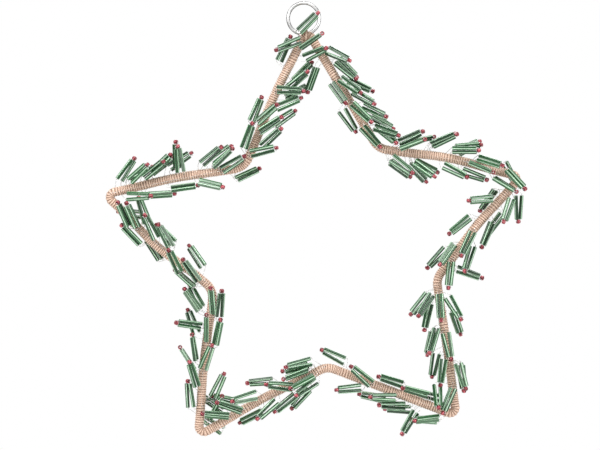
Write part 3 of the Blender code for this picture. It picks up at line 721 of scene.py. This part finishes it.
def twistedTie(finish):
    # The binding strand: a tube whose radius dips between its plies, which turn with the distance along it. The
    # radius is times 1 - depth (1 - the root of |sin(plies / 2 (angle + twist))|).
    line = tieLine(tie["around"])
    steps = np.linalg.norm(np.roll(line, -1, axis=0) - line, axis=1)
    marks = np.concatenate(([0.0], np.cumsum(steps)))
    turns = round(marks[-1] / tie["plyPitch"])
    angle = np.arange(tie["section"]) * 2 * math.pi / tie["section"]
    twist = 2 * math.pi * turns * marks[:-1, None] / marks[-1]
    plies = np.abs(np.sin(tie["plies"] / 2 * (angle + twist)))
    radius = tie["twine"] / 2 * (1 - tie["plyDepth"] * (1 - plies ** 0.5))
    points = tubeAlong(line, right, radius, tie["section"])
    quads = gridQuads(1, tie["around"], tie["section"])
    u, v = marks[:, None] / mm, np.arange(tie["section"] + 1) / tie["section"]
    uv = quadUv(v[:-1], v[1:], u[:-1], u[1:], (tie["around"], tie["section"]))[:, ::-1]
    tone = np.full(points.shape[:2], 0.5).ravel()
    addPiece("twistedTie", points, quads, finish, ("ring_tie",), tone, uv)


woundTwine(twineFinish("woundTwine", twine["fibreScale"]))
twistedTie(twineFinish("tieTwine", tie["fibreScale"]))
print("twine wound")

ringMetal = {
    # the edge colour is a painted dark reflection
    "colour": (0.93, 0.925, 0.92), "edge": (0.07, 0.065, 0.065), "paintedDarkRimEnds": (0.10, 0.38), "dull": 0.9,
    "roughness": 0.28, "roughnessSwing": 0.04, "cloudScale": 400.0, "cloudDetail": 4.0,
}


def polishedRing():
    # Torus of the ring's wire about its circle. Its colour darkens where it is seen edge on, a painted dark
    # reflection.
    finish = Finish("ringMetal", {"Metallic": 1.0})
    cloud = finish.cloud(ringMetal["cloudScale"], ringMetal["cloudDetail"])
    dull = tuple(ringMetal["dull"] * value for value in ringMetal["colour"])
    colour = finish.mix(cloud, dull, ringMetal["colour"])
    # painted reflection: the dark edge colour is mixed in where the ring is seen edge on
    colour = finish.mix(finish.rise(finish.edge(), ringMetal["paintedDarkRimEnds"]), colour, ringMetal["edge"])
    made = finish.show(Base_Color=colour, Roughness=ringMetal["roughness"] + cloud * ringMetal["roughnessSwing"])
    line = ringLine(hangingRing["around"])
    radius = np.full((len(line), 1), hangingRing["wire"] / 2)
    points = tubeAlong(line, -front, radius, hangingRing["section"])
    quads = gridQuads(1, len(line), hangingRing["section"])
    addPiece("polishedRing", points, quads, made, ("hanging_ring",))


polishedRing()
print("ring made")

greenGlass = {
    # core is painted shade, line a painted highlight and rim a painted reflection
    "core": (0.004, 0.030, 0.008), "deep": (0.011, 0.070, 0.022), "bright": (0.045, 0.18, 0.062),
    "line": (0.60, 0.88, 0.62), "rim": (0.14, 0.38, 0.17), "smoke": (0.24, 0.28, 0.24),
    "roughness": 0.05, "roughnessSwing": 0.04, "transmission": 0.0, "ior": 1.5, "coat": 0.3,
    "toneScales": (90.0, 60.0), "alongScale": 0.09, "lines": 3, "crisp": 9.0, "toneTurns": 7.0, "cloudTurns": 0.12,
    "paintedHighlightShare": 0.35, "paintedFlankEnds": (0.03, 0.25), "paintedRimEnds": (0.45, 0.85), "smokeEnds": (0.88, 0.95),
    "toneShare": 1.1, "cloudShare": 0.5, "brightDrop": 0.35, "flankShare": 0.65, "flankTone": 0.35,
    "smokeShare": 0.4, "paintedRimShare": 0.55,
}
redGlass = {
    "deep": (0.13, 0.004, 0.010), "bright": (0.66, 0.14, 0.17), "roughness": 0.08, "roughnessSwing": 0.06,
    "transmission": 0.0, "ior": 1.5, "cloudScale": 900.0, "cloudDetail": 2.0, "toneShare": 0.3,
    "cloudShare": 3.0, "brightDrop": 1.35,
}
silverWire = {
    "colour": (0.88, 0.87, 0.85), "dull": 0.7, "roughness": 0.25, "roughnessSwing": 0.15, "cloudScale": 700.0,
    "cloudDetail": 3.0, "radius": 0.13 * mm, "sides": 5, "samples": 3, "settle": 0.95 * mm, "inside": 0.4 * mm,
    "bend": 0.35 * mm, "seedShare": 0.8,
}


def greenGlassFinish():
    # Pulled glass: a painted dark core where the bead faces the viewer, in place of the hole seen through the
    # glass, a tone of its own for each bead, and a painted pale reflection on the rim where it is seen edge on.
    # Painted highlight lines are drawn along it, at (sin(2 pi (lines u + turns)) + 1) / 2 to a power.
    glass = greenGlass
    finish = Finish("greenGlass", {"Transmission Weight": glass["transmission"], "IOR": glass["ior"],
                                   "Coat Weight": glass["coat"], "Coat Roughness": glass["roughness"]})
    around, along = finish.lay()
    tone = finish.tone()
    drawn = finish.node("ShaderNodeCombineXYZ", None, {
        0: tone * glass["toneScales"][0], 1: along * glass["alongScale"], 2: tone * glass["toneScales"][1]})
    cloud = finish.noise(drawn, 1.0, 1.0)
    turns = around * glass["lines"] + tone * glass["toneTurns"] + cloud * glass["cloudTurns"]
    line = ((turns * (2 * math.pi)).math("SINE") * 0.5 + 0.5) ** glass["crisp"]
    edge = finish.edge()
    # flank and rim are masks by how far the bead is seen edge on, for painted shade and a painted reflection
    flank, rim = finish.rise(edge, glass["paintedFlankEnds"]), finish.rise(edge, glass["paintedRimEnds"])
    body = finish.mix(tone * glass["toneShare"] + cloud * glass["cloudShare"] - glass["brightDrop"],
                      glass["deep"], glass["bright"])
    # painted shade: the dark core colour where the bead faces the viewer, in place of the hole seen through the
    # glass
    body = finish.mix(flank * glass["flankShare"] + tone * glass["flankTone"], glass["core"], body)
    body = finish.mix(finish.rise(tone, glass["smokeEnds"]) * glass["smokeShare"], body, glass["smoke"])
    # painted reflection: the pale rim colour where the bead is seen edge on
    body = finish.mix(rim * glass["paintedRimShare"], body, glass["rim"])
    # painted highlights: pale lines drawn at fixed turns round each bead
    colour = finish.mix(line * (glass["paintedHighlightShare"] + cloud), body, glass["line"])
    return finish.show(Base_Color=colour, Roughness=glass["roughness"] + cloud * glass["roughnessSwing"])


def redGlassFinish():
    # Dark and bright clouds at random places: the bright ones are partly a tone of the glass and partly painted
    # glints of inner reflection. Bright has the share of the tone and the cloud, each times its share, less a drop.
    glass = redGlass
    finish = Finish("redGlass", {"Transmission Weight": glass["transmission"], "IOR": glass["ior"]})
    cloud = finish.cloud(glass["cloudScale"], glass["cloudDetail"])
    bright = finish.tone() * glass["toneShare"] + cloud * glass["cloudShare"] - glass["brightDrop"]
    # painted glints: bright cloud peaks at random places, also a tone of the glass
    return finish.show(Base_Color=finish.mix(bright, glass["deep"], glass["bright"]),
                       Roughness=glass["roughness"] + cloud * glass["roughnessSwing"])


def silverWireFinish():
    # Metal with duller and rougher clouds.
    finish = Finish("silverWire", {"Metallic": 1.0})
    cloud = finish.cloud(silverWire["cloudScale"], silverWire["cloudDetail"])
    dull = tuple(silverWire["dull"] * value for value in silverWire["colour"])
    return finish.show(Base_Color=finish.mix(cloud, dull, silverWire["colour"]),
                       Roughness=silverWire["roughness"] + cloud * silverWire["roughnessSwing"])


def turnedBeads(starts, ways, faces, outline, around, tones):
    # One profile turned round each bead's axis: start + way h + (face cos + other sin) r, the profile closed.
    ways = unit(ways)
    faces = unit(faces - ways * dots(faces, ways)[:, None])
    others = np.cross(ways, faces)
    angle = (np.arange(around) * 2 * math.pi / around)[:, None]
    radius, height = outline[..., 0], outline[..., 1]
    spoke = faces[:, None, None] * np.cos(angle) + others[:, None, None] * np.sin(angle)
    points = starts[:, None, None] + ways[:, None, None] * height[..., None, None] + spoke * radius[..., None, None]
    count, rows = len(starts), outline.shape[-2]
    quads = gridQuads(count, rows, around)
    tone = np.repeat(tones, rows * around)
    turn = np.arange(around + 1) / around
    heights = np.concatenate((height, height[:, :1]), axis=1) / mm
    uv = quadUv(turn[:-1], turn[1:], heights[:, :-1, None], heights[:, 1:, None], (count, rows, around))
    return points, quads, tone, uv


def bugleOutline(lengths):
    # Closed profile of a cut tube, from the outside of its near end to its far end and back through the hole.
    outer, hole = beads["cutOutside"] / 2, beads["bugleHole"] / 2
    radius = np.broadcast_to(np.array((outer, outer, hole, hole)), (len(lengths), 4))
    height = beads["bugleLength"] - lengths[:, None] * np.array((1.0, 0.0, 0.0, 1.0))
    return np.stack((radius, height), axis=-1)


def seedOutline(count):
    # Rounded section between the hole and the rim: ellipse of middle radius + a cos, b sin.
    outer, hole, half = beads["seedOutside"] / 2, beads["seedHole"] / 2, beads["seedLength"] / 2
    angle = np.arange(beads["seedSection"]) * 2 * math.pi / beads["seedSection"]
    radius = (outer + hole) / 2 + (outer - hole) / 2 * np.cos(angle)
    outline = np.stack((radius, half * np.sin(angle)), axis=-1)
    return np.broadcast_to(outline, (count, *outline.shape))


def sprigWire(side, shape):
    # Way of the wire through one sprig: off the wrap, up one bead, through the seed bead and down the other.
    aim, pair, seed = shape["aim"], shape["pair"], shape["seed"] - shape["aim"] * beads["seedNestle"]
    first, second, up, down = (shape[key] for key in ("firstRoot", "secondRoot", "firstWay", "secondWay"))
    full, inside, bend = beads["bugleLength"], silverWire["inside"], silverWire["bend"]
    end, hold = beads["seedLength"] / 2, silverWire["seedShare"]
    return [
        side.lace(shape["enterStation"], shape["turn"], -silverWire["settle"]), (shape["enter"] + first) / 2,
        first - up * inside, first + up * inside, first + up * (full - inside),
        first + up * (full + inside / 2), seed - pair * (end + bend) - aim * bend,
        seed - pair * end * hold, seed + pair * end * hold, seed + pair * (end + bend) - aim * bend,
        second + down * (full + inside / 2), second + down * (full - inside), second + down * inside,
        second - down * inside, shape["hook"] + second - shape["second"],
        side.lace(shape["leaveStation"], shape["turn"], -silverWire["settle"]),
    ]


def smoothLine(points, samples):
    # Catmull-Rom curve: a cubic between each two points, whose slopes come from the points on both sides.
    points = np.array(points)
    padded = np.vstack((points[:1] * 2 - points[1:2], points, points[-1:] * 2 - points[-2:-1]))
    p0, p1, p2, p3 = (padded[k:len(points) - 1 + k, None] for k in range(4))
    t = (np.arange(samples) / samples)[None, :, None]
    curve = 0.5 * (2 * p1 + (p2 - p0) * t + (2 * p0 - 5 * p1 + 4 * p2 - p3) * t ** 2
                   + (3 * p1 - p0 - 3 * p2 + p3) * t ** 3)
    return np.vstack((curve.reshape(-1, 3), points[-1:]))


def wireTube(line, radius, sides):
    # Tube along the line, whose side direction is carried on from step to step by the smallest turn.
    ways = unit(np.gradient(line, axis=0))
    carried = [unit(np.cross(ways[0], ways[0][::-1] + right))]
    for way in ways[1:]:
        carried.append(unit(carried[-1] - way * dots(carried[-1], way)))
    face = np.array(carried)[:, None]
    angle = (np.arange(sides) * 2 * math.pi / sides)[:, None]
    other = np.cross(ways[:, None], face)
    return line[:, None] + (face * np.cos(angle) + other * np.sin(angle)) * radius


greenFinish, redFinish, wireFinish = greenGlassFinish(), redGlassFinish(), silverWireFinish()
dice = np.random.default_rng(beads["dice"])
for side, placed, runs, row in zip(starSides, sprigs, laces, sprigRows):
    name = row[0]
    aim, pair, seed, first, second, up, down = (
        np.array([shape[key] for shape, way in placed])
        for key in ("aim", "pair", "seed", "firstRoot", "secondRoot", "firstWay", "secondWay"))
    starts, aims, pairs = np.vstack((first, second)), np.vstack((up, down)), np.vstack((pair, pair))
    lengths = beads["bugleLength"] * dice.uniform(beads["shortest"], 1.0, len(starts))
    points, quads, tone, uv = turnedBeads(starts, aims, pairs, bugleOutline(lengths), beads["bugleSides"],
                                          dice.uniform(0, 1, len(starts)))
    addPiece("greenBugles_" + name, points, quads, greenFinish, ("garland_" + name,), tone, uv,
             sharpAt=beads["sharpAt"])
    seed = seed - aim * beads["seedNestle"]
    points, quads, tone, uv = turnedBeads(seed, pair, aim, seedOutline(len(seed)), beads["seedAround"],
                                          dice.uniform(0, 1, len(seed)))
    addPiece("redSeeds_" + name, points, quads, redFinish, (), tone, uv)
    lines, run = [], []
    for number, (shape, way) in enumerate(placed):
        own = sprigWire(side, shape)
        if way:
            run += [side.lace(*spot, -silverWire["settle"]) for spot in runs[number]] + own[::way]
        else:
            lines.append(own)
    tubes = [wireTube(smoothLine(points, silverWire["samples"]), silverWire["radius"], silverWire["sides"])
             for points in [run] + lines]
    quads, caps, base, ring = [], [], 0, np.arange(silverWire["sides"])
    for tube in tubes:
        quads.append(gridQuads(1, len(tube), silverWire["sides"], False) + base)
        caps.append((base + ring[::-1]).tolist())
        base += tube.shape[0] * tube.shape[1]
        caps.append((base - len(ring) + ring).tolist())
    addPiece("beadWire_" + name, np.concatenate([tube.reshape(-1, 3) for tube in tubes]), np.vstack(quads),
             wireFinish, caps=caps)
print("beads strung")

stage = {"drop": 0.30, "radius": 0.55, "sides": 64, "colour": (0.86, 0.86, 0.86), "roughness": 0.9}
lights = {  # place, size and power
    "keyLight": ((-0.60, -0.52, 0.36), (0.22, 0.70), 5.0), "topLight": ((0.12, -0.50, 0.66), (0.70, 0.22), 4.0),
    "fillLight": ((0.76, -0.52, 0.02), (0.22, 0.70), 3.6), "backLight": ((0.1, 0.6, 0.5), (0.6, 0.4), 4.0),
}
litPoint = (0, 0, -0.11)


def paleFloor():
    # Flat round floor below the star.
    sides = stage["sides"]
    angle = np.arange(sides) * 2 * math.pi / sides
    rim = np.stack((np.cos(angle), np.sin(angle), np.zeros(sides)), axis=-1) * stage["radius"]
    data = bpy.data.meshes.new("floor")
    data.from_pydata((rim + np.array((0, 0, -stage["drop"]))).tolist(), [], [list(range(sides))])
    finish = Finish("floorPaint", {"Roughness": stage["roughness"], "Base Color": (*stage["colour"], 1.0)})
    data.materials.append(finish.material)
    floor = bpy.data.objects.new("floor", data)
    bpy.context.collection.objects.link(floor)


def softLight(name, place, size, power):
    # Oblong area light that faces the middle of the star.
    lamp = bpy.data.lights.new(name, "AREA")
    lamp.shape, lamp.size, lamp.size_y, lamp.energy = "RECTANGLE", size[0], size[1], power
    made = bpy.data.objects.new(name, lamp)
    made.location = place
    made.rotation_euler = (Vector(litPoint) - Vector(place)).to_track_quat("-Z", "Y").to_euler()
    bpy.context.collection.objects.link(made)


roomLight = {"seen": 1.0, "front": 0.80, "side": 0.20, "narrow": 1.6}


def whiteRoom():
    # World that the camera sees as white. It lights the star from the front and the back, and less from the
    # sides: side + (front - side) times |y| of the direction to a power.
    world = bpy.data.worlds.new("whiteRoom")
    world.use_nodes = True
    nodes, links = world.node_tree.nodes, world.node_tree.links
    nodes["Background"].inputs["Color"].default_value = (1, 1, 1, 1)

    def add(kind, operation, inputs):
        made = nodes.new(kind)
        if operation:
            made.operation = operation
        for key, value in inputs.items():
            if isinstance(value, bpy.types.NodeSocket):
                links.new(value, made.inputs[key])
            else:
                made.inputs[key].default_value = value
        return made.outputs

    split = add("ShaderNodeSeparateXYZ", None, {0: nodes.new("ShaderNodeTexCoord").outputs["Generated"]})
    depth = add("ShaderNodeMath", "ABSOLUTE", {0: split[1]})[0]
    depth = add("ShaderNodeMath", "POWER", {0: depth, 1: roomLight["narrow"]})[0]
    cast = add("ShaderNodeMapRange", None,
               {"Value": depth, "To Min": roomLight["side"], "To Max": roomLight["front"]})[0]
    path = nodes.new("ShaderNodeLightPath").outputs["Is Camera Ray"]
    links.new(add("ShaderNodeMapRange", None, {"Value": path, "To Min": cast, "To Max": roomLight["seen"]})[0],
              nodes["Background"].inputs["Strength"])
    bpy.context.scene.world = world


view = {"middle": (-1.85 * mm, -110.65 * mm), "width": 300 * mm, "lens": 100, "sensor": 36}


def placeCamera():
    # Straight on, as far off as makes the picture as wide as the photograph's 300 mm.
    lens = bpy.data.cameras.new("camera")
    lens.lens, lens.sensor_width = view["lens"], view["sensor"]
    camera = bpy.data.objects.new("camera", lens)
    distance = view["width"] * view["lens"] / view["sensor"] + starForward
    camera.location = (view["middle"][0], -distance, view["middle"][1])
    camera.rotation_euler = (math.pi / 2, 0, 0)
    bpy.context.collection.objects.link(camera)
    bpy.context.scene.camera = camera


paleFloor()
for name, plan in lights.items():
    softLight(name, *plan)
whiteRoom()
bpy.context.scene.view_settings.view_transform = "Standard"
placeCamera()
print("stage set")
